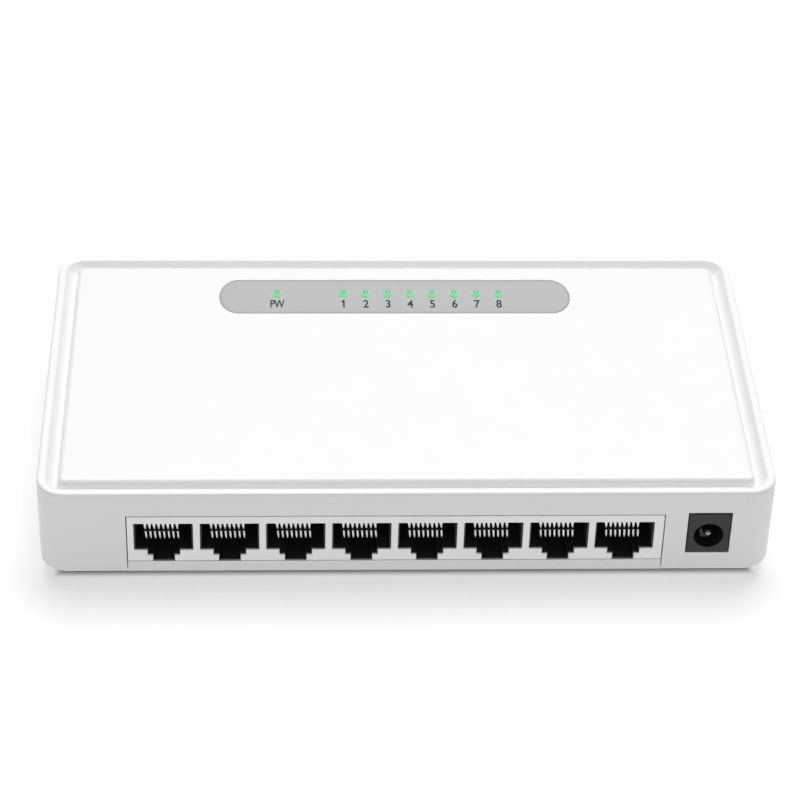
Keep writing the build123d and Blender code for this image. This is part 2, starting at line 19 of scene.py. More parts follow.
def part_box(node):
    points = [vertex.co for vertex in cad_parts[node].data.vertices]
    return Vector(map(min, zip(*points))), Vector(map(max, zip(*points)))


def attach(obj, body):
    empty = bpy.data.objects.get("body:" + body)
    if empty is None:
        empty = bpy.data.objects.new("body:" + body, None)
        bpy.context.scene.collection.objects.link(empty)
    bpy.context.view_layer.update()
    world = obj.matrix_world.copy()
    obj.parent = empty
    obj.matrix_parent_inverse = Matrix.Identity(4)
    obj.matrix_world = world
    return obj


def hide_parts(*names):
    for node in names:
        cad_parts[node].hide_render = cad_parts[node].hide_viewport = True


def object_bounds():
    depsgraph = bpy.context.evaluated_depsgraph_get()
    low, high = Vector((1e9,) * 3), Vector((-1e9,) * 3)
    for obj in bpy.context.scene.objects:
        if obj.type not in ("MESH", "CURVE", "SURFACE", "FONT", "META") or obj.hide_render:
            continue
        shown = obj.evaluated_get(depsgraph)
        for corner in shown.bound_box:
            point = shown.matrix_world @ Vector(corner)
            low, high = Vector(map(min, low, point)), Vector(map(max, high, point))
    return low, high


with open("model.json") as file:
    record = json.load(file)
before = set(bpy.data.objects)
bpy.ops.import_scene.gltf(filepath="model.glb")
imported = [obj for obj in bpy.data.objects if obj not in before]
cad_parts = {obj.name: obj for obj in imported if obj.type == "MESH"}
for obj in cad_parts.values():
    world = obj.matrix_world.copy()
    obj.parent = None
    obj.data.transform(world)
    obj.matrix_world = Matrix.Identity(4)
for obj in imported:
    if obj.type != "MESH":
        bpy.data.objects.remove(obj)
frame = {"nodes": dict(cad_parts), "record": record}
CAD_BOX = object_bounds()

MM = 0.001
CASE = "case"
LOG = logging.getLogger("switch")


class Edge(Enum):
    """How a piece's edges are softened: width in metres and segments."""

    CRISP = (0.06 * MM, 2)
    MOULDED = (0.14 * MM, 3)


@dataclass(frozen=True)
class Span:
    """A box in the row frame, by its lowest and highest corners."""

    low: np.ndarray
    high: np.ndarray

    @classmethod
    def of(cls, node: str) -> "Span":
        """The box of a frame node at rest.

        Args:
            node: the node's name.

        Returns:
            Its span, in metres.
        """
        low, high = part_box(node)
        return cls(np.array(low), np.array(high))

    @property
    def middle(self) -> np.ndarray:
        """The box's centre."""
        return (self.low + self.high) / 2

    @property
    def size(self) -> np.ndarray:
        """The box's three sides."""
        return self.high - self.low


# ---------------------------------------------------------------- finishes


class ShaderGraph:
    """A material's node tree, with short calls to add and join nodes."""

    def __init__(self, name: str) -> None:
        """Make the material and keep its shader.

        Args:
            name: the material's name.
        """
        self.material = bpy.data.materials.new(name)
        self.material.use_nodes = True
        self.tree = self.material.node_tree
        self.shader = self.tree.nodes["Principled BSDF"]

    def add(self, kind: str, **values: object) -> bpy.types.Node:
        """Add a node and set its properties and inputs.

        Args:
            kind: the node's type name without its ShaderNode prefix.
            values: properties by name, or inputs by name with spaces as underscores.

        Returns:
            The new node.
        """
        node = self.tree.nodes.new("ShaderNode" + kind)
        for key, value in values.items():
            if hasattr(node, key):
                setattr(node, key, value)
            else:
                node.inputs[key.replace("_", " ")].default_value = value
        return node

    def join(self, source: bpy.types.NodeSocket, target: bpy.types.NodeSocket) -> None:
        """Link one socket to another."""
        self.tree.links.new(source, target)

    def place(self) -> bpy.types.NodeSocket:
        """The piece's own Object coordinates."""
        return self.add("TexCoord").outputs["Object"]

    def noise(self, scale: float, detail: float = 3.0) -> bpy.types.NodeSocket:
        """A noise over the piece.

        Args:
            scale: cycles a metre.
            detail: octaves.

        Returns:
            The noise's value, from 0 to 1.
        """
        node = self.add("TexNoise", Scale=scale, Detail=detail)
        self.join(self.place(), node.inputs["Vector"])
        return node.outputs["Fac"]

    def ramp(self, value: bpy.types.NodeSocket, low: float, high: float) -> bpy.types.NodeSocket:
        """Stretch a 0 to 1 value to another range.

        Args:
            value: the socket to stretch.
            low: the result at 0.
            high: the result at 1.

        Returns:
            The stretched value.
        """
        node = self.add("MapRange")
        node.inputs["To Min"].default_value = low
        node.inputs["To Max"].default_value = high
        self.join(value, node.inputs["Value"])
        return node.outputs["Result"]

    def blend(
        self, value: bpy.types.NodeSocket, low: tuple[float, ...], high: tuple[float, ...]
    ) -> bpy.types.NodeSocket:
        """Mix two colours by a value.

        Args:
            value: 0 gives the first colour and 1 the second.
            low: the first colour, linear.
            high: the second colour, linear.

        Returns:
            The mixed colour.
        """
        node = self.add("Mix", data_type="RGBA")
        node.inputs[6].default_value = (*low, 1.0)
        node.inputs[7].default_value = (*high, 1.0)
        self.join(value, node.inputs[0])
        return node.outputs[2]

    def bump(self, height: bpy.types.NodeSocket, depth: float) -> None:
        """Raise the surface by a height map.

        Args:
            height: 0 to 1.
            depth: the relief in metres.
        """
        node = self.add("Bump", Strength=1.0, Distance=depth)
        self.join(height, node.inputs["Height"])
        self.join(node.outputs["Normal"], self.shader.inputs["Normal"])


def tone(colour: tuple[float, ...], factor: float) -> tuple[float, ...]:
    """A colour made lighter or darker by a factor."""
    return tuple(min(1.0, c * factor) for c in colour)


@dataclass(frozen=True)
class MouldedPlastic:
    """Injection-moulded plastic with fine grain, faint mottling and uneven gloss.

    The grain is noise at grain_scale cycles a metre; the mottling is a noise a hundred times coarser.
    """

    name: str
    colour: tuple[float, float, float]
    roughness: float
    grain_scale: float = 2600.0
    grain_depth: float = 0.006 * MM
    mottling: float = 0.03
    gloss_spread: float = 0.15
    specular: float = 0.5

    def material(self) -> bpy.types.Material:
        """Build the finish.

        Returns:
            The material.
        """
        graph = ShaderGraph(self.name)
        graph.shader.inputs["Specular IOR Level"].default_value = self.specular
        mottle = graph.noise(self.grain_scale / 100, 2.0)
        darker, lighter = tone(self.colour, 1 - self.mottling), tone(self.colour, 1 + self.mottling)
        colour = graph.blend(mottle, darker, lighter)
        graph.join(colour, graph.shader.inputs["Base Color"])
        gloss = graph.noise(self.grain_scale / 12, 4.0)
        dull, bright = self.roughness * (1 + self.gloss_spread), self.roughness * (1 - self.gloss_spread)
        graph.join(graph.ramp(gloss, bright, dull), graph.shader.inputs["Roughness"])
        graph.bump(graph.noise(self.grain_scale, 3.0), self.grain_depth)
        return graph.material


@dataclass(frozen=True)
class PlatedMetal:
    """Bright plated metal with fine drawn lines across it.

    The lines are noise stretched along one axis, and they break up the gloss a little.
    """

    name: str
    colour: tuple[float, float, float]
    roughness: float
    line_scale: float = 900.0
    line_depth: float = 0.004 * MM
    stretch: tuple[float, float, float] = (12.0, 1.0, 1.0)
    metallic: float = 1.0
    line_tone: float = 0.92
    gloss_range: tuple[float, float] = (0.8, 1.25)

    def material(self) -> bpy.types.Material:
        """Build the finish.

        Returns:
            The material.
        """
        graph = ShaderGraph(self.name)
        graph.shader.inputs["Metallic"].default_value = self.metallic
        mapping = graph.add("Mapping")
        mapping.inputs["Scale"].default_value = self.stretch
        graph.join(graph.place(), mapping.inputs["Vector"])
        lines = graph.add("TexNoise", Scale=self.line_scale, Detail=3.0)
        graph.join(mapping.outputs["Vector"], lines.inputs["Vector"])
        value = lines.outputs["Fac"]
        colour = graph.blend(value, tone(self.colour, self.line_tone), self.colour)
        graph.join(colour, graph.shader.inputs["Base Color"])
        low, high = (self.roughness * share for share in self.gloss_range)
        graph.join(graph.ramp(value, low, high), graph.shader.inputs["Roughness"])
        graph.bump(value, self.line_depth)
        return graph.material


@dataclass(frozen=True)
class PrintedFilm:
    """The indicator label's grey film, with painted shade along its rim.

    The reach is a point's distance past the straight part of the label's middle line. Along the ends it is
    multiplied by stretch, so that it comes to radius, half the label's width, all round the edge. The
    painted rim shade comes in over the last rim metres of it.
    """

    name: str
    colour: tuple[float, float, float]
    rim_shade_colour: tuple[float, float, float]
    centre: tuple[float, float]
    straight: float
    stretch: float
    radius: float
    rim: float
    roughness: float = 0.55

    def material(self) -> bpy.types.Material:
        """Build the finish.

        Returns:
            The material.
        """
        graph = ShaderGraph(self.name)
        parts = graph.add("SeparateXYZ")
        graph.join(graph.place(), parts.inputs["Vector"])
        flat = graph.add("CombineXYZ")
        ways = zip("XY", self.centre, (self.straight, 0.0), (self.stretch, 1.0))
        for axis, centre, half, stretch in ways:
            aside = graph.add("Math", operation="ABSOLUTE")
            graph.join(self.sum(graph, parts.outputs[axis], -centre), aside.inputs[0])
            past = graph.add("Math", operation="MAXIMUM")
            past.inputs[1].default_value = 0.0
            graph.join(self.sum(graph, aside.outputs[0], -half), past.inputs[0])
            longer = graph.add("Math", operation="MULTIPLY")
            longer.inputs[1].default_value = stretch
            graph.join(past.outputs[0], longer.inputs[0])
            graph.join(longer.outputs[0], flat.inputs[axis])
        reach = graph.add("VectorMath", operation="LENGTH")
        graph.join(flat.outputs["Vector"], reach.inputs[0])
        band = graph.add("MapRange", interpolation_type="SMOOTHSTEP")
        band.inputs["From Min"].default_value = self.radius - self.rim
        band.inputs["From Max"].default_value = self.radius
        graph.join(reach.outputs["Value"], band.inputs["Value"])
        speckle = graph.blend(graph.noise(1800.0), tone(self.colour, 0.97), tone(self.colour, 1.03))
        mix = graph.add("Mix", data_type="RGBA")
        graph.join(band.outputs["Result"], mix.inputs[0])
        graph.join(speckle, mix.inputs[6])
        # painted shade along the label's rim
        mix.inputs[7].default_value = (*self.rim_shade_colour, 1.0)
        graph.join(mix.outputs[2], graph.shader.inputs["Base Color"])
        graph.join(
            graph.ramp(graph.noise(400.0), self.roughness * 0.9, self.roughness * 1.1),
            graph.shader.inputs["Roughness"],
        )
        graph.bump(graph.noise(5200.0), 0.004 * MM)
        return graph.material

    @staticmethod
    def sum(graph: ShaderGraph, value: bpy.types.NodeSocket, amount: float) -> bpy.types.NodeSocket:
        """Add a fixed amount to a value.

        Args:
            graph: the tree to work in.
            value: the socket to add to.
            amount: what to add.

        Returns:
            The sum.
        """
        node = graph.add("Math", operation="ADD")
        graph.join(value, node.inputs[0])
        node.inputs[1].default_value = amount
        return node.outputs[0]


@dataclass(frozen=True)
class LitGuide:
    """A light guide's lit end: a deep green middle in a paler green ring.

    The colour follows the piece's own attribute, which is 0 at the middle and 1 at the rim.
    """

    name: str
    attribute: str
    middle: tuple[float, float, float]
    ring: tuple[float, float, float]
    strength: float
    ring_start: float = 0.5
    ring_full: float = 0.97

    def material(self) -> bpy.types.Material:
        """Build the finish.

        Returns:
            The material.
        """
        graph = ShaderGraph(self.name)
        reach = graph.add("Attribute", attribute_name=self.attribute)
        band = graph.add("MapRange", interpolation_type="SMOOTHSTEP")
        band.inputs["From Min"].default_value = self.ring_start
        band.inputs["From Max"].default_value = self.ring_full
        graph.join(reach.outputs["Fac"], band.inputs["Value"])
        colour = graph.blend(band.outputs["Result"], self.middle, self.ring)
        graph.join(colour, graph.shader.inputs["Base Color"])
        graph.join(colour, graph.shader.inputs["Emission Color"])
        graph.shader.inputs["Emission Strength"].default_value = self.strength
        graph.join(graph.ramp(graph.noise(900.0), 0.12, 0.2), graph.shader.inputs["Roughness"])
        return graph.material


@dataclass(frozen=True)
class SolderMask:
    """Green lacquer over copper tracks that run one way, with bare laminate between them.

    The tracks are a wave across X broken by a coarse noise.
    """

    name: str
    lacquer: tuple[float, float, float]
    track: tuple[float, float, float]
    pitch: float
    threshold: float = 0.55
    track_height: float = 0.02 * MM

    def material(self) -> bpy.types.Material:
        """Build the finish.

        Returns:
            The material.
        """
        graph = ShaderGraph(self.name)
        wave = graph.add("TexWave", Scale=1.0 / (2 * math.pi * self.pitch), Distortion=1.2)
        graph.join(graph.place(), wave.inputs["Vector"])
        cut = graph.add("Math", operation="GREATER_THAN")
        cut.inputs[1].default_value = self.threshold
        graph.join(wave.outputs["Fac"], cut.inputs[0])
        colour = graph.blend(cut.outputs[0], self.lacquer, self.track)
        graph.join(colour, graph.shader.inputs["Base Color"])
        graph.join(graph.ramp(graph.noise(300.0), 0.28, 0.4), graph.shader.inputs["Roughness"])
        graph.bump(cut.outputs[0], self.track_height)
        return graph.material


@dataclass(frozen=True)
class Ink:
    """Flat printing ink, slightly uneven."""

    name: str
    colour: tuple[float, float, float]

    def material(self) -> bpy.types.Material:
        """Build the finish.

        Returns:
            The material.
        """
        graph = ShaderGraph(self.name)
        colour = graph.blend(graph.noise(6000.0), self.colour, tone(self.colour, 1.6))
        graph.join(colour, graph.shader.inputs["Base Color"])
        graph.join(graph.ramp(graph.noise(2500.0), 0.5, 0.65), graph.shader.inputs["Roughness"])
        return graph.material


# ---------------------------------------------------------------- surfaces


def grid_faces(rows: int, columns: int, closed: bool = True) -> np.ndarray:
    """Quads between neighbouring rows and columns of a grid of points.

    Args:
        rows: points along the first way.
        columns: points along the second way.
        closed: whether the last column joins the first.

    Returns:
        One row of four point numbers for each quad.
    """
    i, j = np.meshgrid(np.arange(rows - 1), np.arange(columns if closed else columns - 1), indexing="ij")
    k = (j + 1) % columns
    quads = np.stack([i * columns + j, i * columns + k, (i + 1) * columns + k, (i + 1) * columns + j], -1)
    return quads.reshape(-1, 4)


def make_piece(
    name: str, points: np.ndarray, faces: list, material: bpy.types.Material, sharp: float = 35.0
) -> bpy.types.Object:
    """Make a mesh piece with merged doubles, outward faces and smooth shading up to an angle.

    Args:
        name: the piece's name.
        points: one row of three coordinates for each point, in metres.
        faces: point numbers of each face.
        material: its finish.
        sharp: the angle in degrees past which an edge shades sharp.

    Returns:
        The piece, at the origin.
    """
    mesh = bpy.data.meshes.new(name)
    mesh.from_pydata(np.asarray(points).reshape(-1, 3).tolist(), [], [list(map(int, f)) for f in faces])
    work = bmesh.new()
    work.from_mesh(mesh)
    bmesh.ops.remove_doubles(work, verts=work.verts, dist=0.001 * MM)
    bmesh.ops.recalc_face_normals(work, faces=work.faces)
    work.to_mesh(mesh)
    work.free()
    mesh.shade_smooth()
    mesh.set_sharp_from_angle(angle=math.radians(sharp))
    piece = bpy.data.objects.new(name, mesh)
    bpy.context.scene.collection.objects.link(piece)
    mesh.materials.append(material)
    return piece


def bake_modifiers(piece: bpy.types.Object) -> None:
    """Replace a piece's mesh by what its modifiers make of it."""
    graph = bpy.context.evaluated_depsgraph_get()
    made = bpy.data.meshes.new_from_object(piece.evaluated_get(graph))
    piece.modifiers.clear()
    piece.data = made


def soften(piece: bpy.types.Object, edge: Edge, angle: float = 35.0) -> None:
    """Round a piece's sharp edges and even out its shading.

    Args:
        piece: the piece.
        edge: which rounding.
        angle: the least angle between faces that is rounded, in degrees.
    """
    width, segments = edge.value
    bevel = piece.modifiers.new("soften", "BEVEL")
    bevel.width = width
    bevel.segments = segments
    bevel.limit_method = "ANGLE"
    bevel.angle_limit = math.radians(angle)
    bevel.use_clamp_overlap = True
    bevel.miter_outer = "MITER_ARC"
    bake_modifiers(piece)
    piece.data.shade_smooth()
    normals = piece.modifiers.new("even_shading", "WEIGHTED_NORMAL")
    normals.keep_sharp = True
    bake_modifiers(piece)


def cut_away(piece: bpy.types.Object, points: np.ndarray, faces: list) -> None:
    """Cut one closed shape out of a piece.

    Args:
        piece: the piece to cut.
        points: the cutting shape's points.
        faces: the cutting shape's faces.
    """
    tool = make_piece("tool", points, faces, piece.data.materials[0])
    cut = piece.modifiers.new("cut", "BOOLEAN")
    cut.operation = "DIFFERENCE"
    cut.solver = "EXACT"
    cut.object = tool
    bake_modifiers(piece)
    bpy.data.objects.remove(tool)


def prism(outline: np.ndarray, low: float, high: float) -> tuple[np.ndarray, list]:
    """A closed prism on a plan outline.

    Args:
        outline: the outline's points in X and Y, counter-clockwise.
        low: the lower face's height.
        high: the upper face's height.

    Returns:
        Its points and faces.
    """
    count = len(outline)
    rows = [np.column_stack([outline, np.full(count, z)]) for z in (low, high)]
    faces = grid_faces(2, count).tolist()
    faces += [list(range(count))[::-1], list(range(count, 2 * count))]
    return np.concatenate(rows), faces


def lozenge(centre: np.ndarray, size: np.ndarray, end: float, steps: int = 48) -> np.ndarray:
    """The outline of a long plate whose two ends are half ellipses.

    Args:
        centre: the middle, in X and Y.
        size: the two sides.
        end: how far each end reaches past the straight edges.
        steps: points on each end.

    Returns:
        The outline's points, counter-clockwise.
    """
    turn = np.linspace(-math.pi / 2, math.pi / 2, steps)
    tip = np.column_stack([size[0] / 2 - end + end * np.cos(turn), size[1] / 2 * np.sin(turn)])
    return np.concatenate([tip, -tip]) + centre


def hole_outline(centre: tuple[float, float], radius: float, steps: int) -> np.ndarray:
    """A round hole's outline: two half circles.

    Args:
        centre: the hole's middle.
        radius: its radius.
        steps: points on each half circle.

    Returns:
        The outline's points, counter-clockwise.
    """
    turn = np.linspace(-math.pi / 2, math.pi / 2, steps)
    end = np.column_stack([radius * np.cos(turn), radius * np.sin(turn)])
    return (np.concatenate([end, -end]) + centre)[:-1]


def boxes(spans: list[tuple[np.ndarray, np.ndarray]]) -> tuple[np.ndarray, list]:
    """Several closed boxes in one mesh.

    Args:
        spans: the lowest and highest corner of each box.

    Returns:
        Their points and faces.
    """
    corner = np.array([[i & 1, i >> 1 & 1, i >> 2 & 1] for i in range(8)])
    quads = np.array([[0, 2, 3, 1], [4, 5, 7, 6], [0, 1, 5, 4], [2, 6, 7, 3], [0, 4, 6, 2], [1, 3, 7, 5]])
    points = [low + corner * (np.asarray(high) - low) for low, high in spans]
    faces = [quads + 8 * i for i in range(len(spans))]
    return np.concatenate(points), np.concatenate(faces).tolist()


def cell_plate(
    xs: np.ndarray, zs: np.ndarray, kept: np.ndarray, y0: float, y1: float
) -> tuple[np.ndarray, list]:
    """A flat plate facing -Y, made of the kept cells of a rectangular grid.

    Each kept cell gives a front and a back quad, and a side quad wherever its neighbour isn't kept.

    Args:
        xs: the grid's lines across X.
        zs: the grid's lines up Z.
        kept: whether each cell is kept, by its place along Z and then X.
        y0: the front face.
        y1: the back face.

    Returns:
        Its points and faces.
    """
    z, x = np.meshgrid(zs, xs, indexing="ij")
    front = np.stack([x, np.full_like(x, y0), z], -1).reshape(-1, 3)
    back = np.stack([x, np.full_like(x, y1), z], -1).reshape(-1, 3)
    across, total = len(xs), front.shape[0]
    i, j = np.nonzero(kept)
    a = i * across + j
    quads = [np.stack([a, a + 1, a + across + 1, a + across], -1)]
    quads.append(quads[0][:, ::-1] + total)
    wide = np.pad(kept, 1)
    below, right, above, left = (0, 1), (1, across + 1), (across + 1, across), (across, 0)
    sides = ((-1, 0, below), (0, 1, right), (1, 0, above), (0, -1, left))
    for di, dj, (first, second) in sides:
        bare = ~wide[i + 1 + di, j + 1 + dj]
        p, q = a[bare] + first, a[bare] + second
        quads.append(np.stack([p, p + total, q + total, q], -1))
    return np.concatenate([front, back]), np.concatenate(quads).tolist()


def tube(
    path: np.ndarray, across: np.ndarray, along: np.ndarray, sides: int = 14
) -> tuple[np.ndarray, list]:
    """A closed wire with an oval section that changes along a path in the YZ plane.

    A ring's point is the path's point plus the half width times the cosine of its angle along X, plus
    the half thickness times the sine along the path's normal.

    Args:
        path: points of the middle line.
        across: half width at each point.
        along: half thickness at each point.
        sides: points round a ring.

    Returns:
        Its points and faces.
    """
    run = np.gradient(path, axis=0)
    run /= np.linalg.norm(run, axis=1, keepdims=True)
    normal = np.cross(run, [1.0, 0.0, 0.0])
    turn = np.linspace(0, 2 * math.pi, sides, endpoint=False)
    ring = path[:, None] + (
        across[:, None, None] * np.cos(turn)[None, :, None] * np.array([1.0, 0.0, 0.0])
        + along[:, None, None] * np.sin(turn)[None, :, None] * normal[:, None]
    )
    rows = len(path)
    faces = grid_faces(rows, sides).tolist()
    faces += [list(range(sides))[::-1], [(rows - 1) * sides + i for i in range(sides)]]
    return ring.reshape(-1, 3), faces


def merge(parts: list[tuple[np.ndarray, list]]) -> tuple[np.ndarray, list]:
    """Put several shapes' points and faces in one list each.

    Args:
        parts: points and faces of each shape.

    Returns:
        All points and all faces.
    """
    points, faces, start = [], [], 0
    for some_points, some_faces in parts:
        points.append(some_points)
        faces += [[int(i) + start for i in face] for face in some_faces]
        start += len(some_points)
    return np.concatenate(points), faces


def settle(piece: bpy.types.Object, body: str, slot: str, *nodes: str) -> None:
    """Fix a finished piece to its body and hide the frame nodes that it stands for.

    Args:
        piece: the piece.
        body: the body that it moves with.
        slot: not used.
        nodes: frame nodes that it replaces.
    """
    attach(piece, body)
    if nodes:
        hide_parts(*nodes)
    LOG.info("%s: %d faces on %s", piece.name, len(piece.data.polygons), body)


# ---------------------------------------------------------------- sub-assemblies


@dataclass
class CoverShell:
    """The upper shell, as one profile carried round the case's plan outline.

    A profile point is an inset from the outline and a height. At each inset the outline is a rectangle
    with round corners, whose radius is the case's less the inset, and never under least_radius.
    """

    lamps: "LampRow"
    corner_radius: float = 6.0 * MM
    least_radius: float = 0.6 * MM
    wall: float = 2.0 * MM
    foot_rounding: float = 0.3 * MM
    lip_rounding: float = 0.7 * MM
    lip_width: float = 1.8 * MM
    slope_width: float = 2.1 * MM
    groove_depth: float = 2.4 * MM
    groove_flat: float = 0.5 * MM
    lip_softening: float = 0.4 * MM
    plateau_rounding: float = 1.3 * MM
    foot_softening: float = 0.35 * MM
    inner_step: float = 6.2 * MM
    field_inset: float = 8.0 * MM
    low_roof: float = 4.0 * MM
    high_roof: float = 2.0 * MM
    arc_steps: int = 14
    body: Span = field(default_factory=lambda: Span.of("top_cover"))
    bezel: Span = field(default_factory=lambda: Span.of("port_bezel"))
    inlet: Span = field(default_factory=lambda: Span.of("inlet_housing"))
    label: Span = field(default_factory=lambda: Span.of("indicator_label"))
    seam: float = 0.2 * MM
    label_end: float = 4.4 * MM
    bezel_top_drop: float = 6.2 * MM
    inlet_face_low: float = 16.3 * MM
    inlet_face_height: float = 10.5 * MM
    long_side_points: int = 13
    short_side_points: int = 9
    break_clearance: float = 2 * MM
    pocket_over: float = 1 * MM
    hole_gap: float = 0.06 * MM
    hole_depth: float = 4 * MM
    hole_over: float = 0.5 * MM
    hole_steps: int = 14

    WALL_BREAKS = ("inlet_top", "bezel_top", "inlet_bottom")

    def columns(self) -> tuple[np.ndarray, dict[float, int]]:
        """Where the outline's points are: straight stretches by place, corners by angle.

        Returns:
            Rows of (side, place), and the point number of each break on the front.
        """
        half = self.body.size[:2] / 2 - self.corner_radius
        breaks = [
            self.bezel.low[0] - self.seam,
            self.bezel.high[0] + self.seam,
            self.inlet.low[0] - self.seam,
            self.inlet.high[0] + self.seam,
        ]
        plain = np.linspace(-half[0], half[0], self.long_side_points)
        clear = [p for p in plain if min(abs(p - b) for b in breaks) > self.break_clearance]
        front = np.array(sorted([*breaks, *clear]))
        side = np.linspace(-half[1], half[1], self.short_side_points)
        turn = np.linspace(0, 1, self.arc_steps + 1)[1:-1]
        stretches = []
        for number, places in enumerate((front, side, -plain, -side)):
            stretches.append(np.column_stack([np.full(len(places), number), places]))
            stretches.append(np.column_stack([np.full(len(turn), 4 + number), turn]))
        found = {b: int(np.argmin(abs(front - b))) for b in breaks}
        return np.concatenate(stretches), found

    def ring(self, columns: np.ndarray, inset: float) -> np.ndarray:
        """The outline at an inset, in plan.

        Args:
            columns: sides and places, from columns().
            inset: how far in from the case's outer face.

        Returns:
            One X and Y for each column.
        """
        radius = max(self.corner_radius - inset, self.least_radius)
        reach = self.body.size[:2] / 2 - inset
        middle = reach - radius
        side, place = columns[:, 0], columns[:, 1]
        angle = (place + side - 4 - 1) * math.pi / 2
        corner_x = np.where(np.isin(side, (4, 5)), middle[0], -middle[0])
        corner_y = np.where(np.isin(side, (5, 6)), middle[1], -middle[1])
        limit_x, limit_y = np.clip(place, -middle[0], middle[0]), np.clip(place, -middle[1], middle[1])
        x = np.select(
            [side == 0, side == 1, side == 2, side == 3],
            [limit_x, reach[0], limit_x, -reach[0]],
            corner_x + radius * np.cos(angle),
        )
        y = np.select(
            [side == 0, side == 1, side == 2, side == 3],
            [-reach[1], limit_y, reach[1], limit_y],
            corner_y + radius * np.sin(angle),
        )
        return np.column_stack([x, y]) + self.body.middle[:2]

    def heights(self) -> list[float]:
        """Heights on the wall where an opening starts or ends, from the highest."""
        top = self.body.high[2]
        inlet_low = top - self.inlet_face_low
        return [
            inlet_low + self.inlet_face_height + self.seam,
            top - self.bezel_top_drop + self.seam,
            inlet_low - self.seam,
        ]

    def profile(self) -> tuple[np.ndarray, dict[str, int]]:
        """The shell's section, from the plateau outwards, down the skirt, under it and up inside.

        Returns:
            Rows of (inset, height), and the row numbers of the wall's breaks.
        """
        low, top = self.body.low[2], self.body.high[2]
        quarter = np.linspace(0, math.pi / 2, 9)
        edge = self.lip_width + self.slope_width
        shoulder = edge + self.groove_flat + self.plateau_rounding
        rows = [(self.field_inset, top)]
        rows += [
            (shoulder - self.plateau_rounding * math.sin(t), top - self.plateau_rounding * (1 - math.cos(t)))
            for t in quarter
        ]
        foot, floor = self.foot_softening, top - self.groove_depth
        rows += [
            (edge + self.groove_flat - foot * (1 - math.cos(t)), floor + foot * (1 - math.sin(t)))
            for t in quarter[::2]
        ]
        rows.append((edge, floor))
        slope = np.array([self.slope_width, self.groove_depth])
        for share in (0.33, 0.66):
            rows.append((edge - slope[0] * share, floor + slope[1] * share))
        soft = np.linspace(0, 1, 6)
        away = self.lip_softening * slope / np.linalg.norm(slope)
        start = np.array([self.lip_width + away[0], top - away[1]])
        corner = np.array([self.lip_width, top])
        finish = np.array([self.lip_width - self.lip_softening, top])
        rows += [tuple((1 - t) ** 2 * start + 2 * t * (1 - t) * corner + t**2 * finish) for t in soft]
        rows += [
            (
                self.lip_rounding * (1 - math.sin(t)),
                top - self.lip_rounding * (1 - math.cos(t)),
            )
            for t in quarter
        ]
        breaks = {}
        levels = list(zip(self.WALL_BREAKS, self.heights()))
        for name, height in levels:
            breaks[name] = len(rows)
            rows.append((0.0, height))
        rows += [
            (self.foot_rounding * (1 - math.cos(t)), low + self.foot_rounding * (1 - math.sin(t)))
            for t in quarter[::2]
        ]
        rows.append((self.wall, low))
        for name, height in levels[::-1]:
            breaks[name + "_in"] = len(rows)
            rows.append((self.wall, height))
        rows += [(self.wall, top - self.low_roof), (self.inner_step, top - self.low_roof)]
        rows += [(self.inner_step, top - self.high_roof), (self.field_inset, top - self.high_roof)]
        return np.array(rows), breaks

    def build(self, finish: bpy.types.Material) -> bpy.types.Object:
        """Make the shell, with its openings, label pocket and guide holes.

        Args:
            finish: the case's plastic.

        Returns:
            The piece.
        """
        columns, breaks_x = self.columns()
        rows, breaks = self.profile()
        points = np.concatenate(
            [np.column_stack([self.ring(columns, inset), np.full(len(columns), z)]) for inset, z in rows]
        )
        count = len(columns)
        quads = grid_faces(len(rows), count)
        row, column = quads[:, 0] // count, quads[:, 0] % count
        x = sorted(breaks_x.values())
        keep = np.ones(len(quads), bool)
        extra = []
        inlet = ("inlet_top", "inlet_top_in", "inlet_bottom", "inlet_bottom_in")
        windows = [
            (x[0], x[1], breaks["bezel_top"], breaks["bezel_top_in"], None, None),
            (x[2], x[3], *(breaks[name] for name in inlet)),
        ]
        for first, last, top, top_in, bottom, bottom_in in windows:
            inside = (column >= first) & (column < last)
            if bottom is None:
                keep &= ~(inside & (row >= top) & (row < top_in))
                edge_rows = list(range(top, top_in + 1))
            else:
                outside, within = (row >= top) & (row < bottom), (row >= bottom_in) & (row < top_in)
                keep &= ~(inside & (outside | within))
                edge_rows = [*range(top, bottom + 1), *range(bottom_in, top_in + 1)]
            extra += [[r * count + c for r in edge_rows] for c in (first, last)]
            pairs = [(top, top_in)] + ([] if bottom is None else [(bottom, bottom_in)])
            for outer, inner in pairs:
                extra += [
                    [outer * count + c, outer * count + c + 1, inner * count + c + 1, inner * count + c]
                    for c in range(first, last)
                ]
        extra += [list(range(count)), [(len(rows) - 1) * count + i for i in range(count)]]
        shell = make_piece("case_top", points, quads[keep].tolist() + extra, finish)
        self.pocket(shell)
        soften(shell, Edge.CRISP)
        return shell

    def pocket(self, shell: bpy.types.Object) -> None:
        """Cut the label's pocket and the light guides' holes."""
        size, middle = self.label.size, self.label.middle
        pocket = lozenge(middle[:2], size[:2] + self.seam, self.label_end + self.seam / 2)
        cut_away(shell, *prism(pocket, self.label.low[2], self.body.high[2] + self.pocket_over))
        holes = []
        low, high = self.body.high[2] - self.hole_depth, self.label.low[2] + self.hole_over
        for x in self.lamps.places:
            circle = hole_outline((x, self.lamps.line), self.lamps.radius + self.hole_gap, self.hole_steps)
            holes.append(prism(circle, low, high))
        cut_away(shell, *merge(holes))


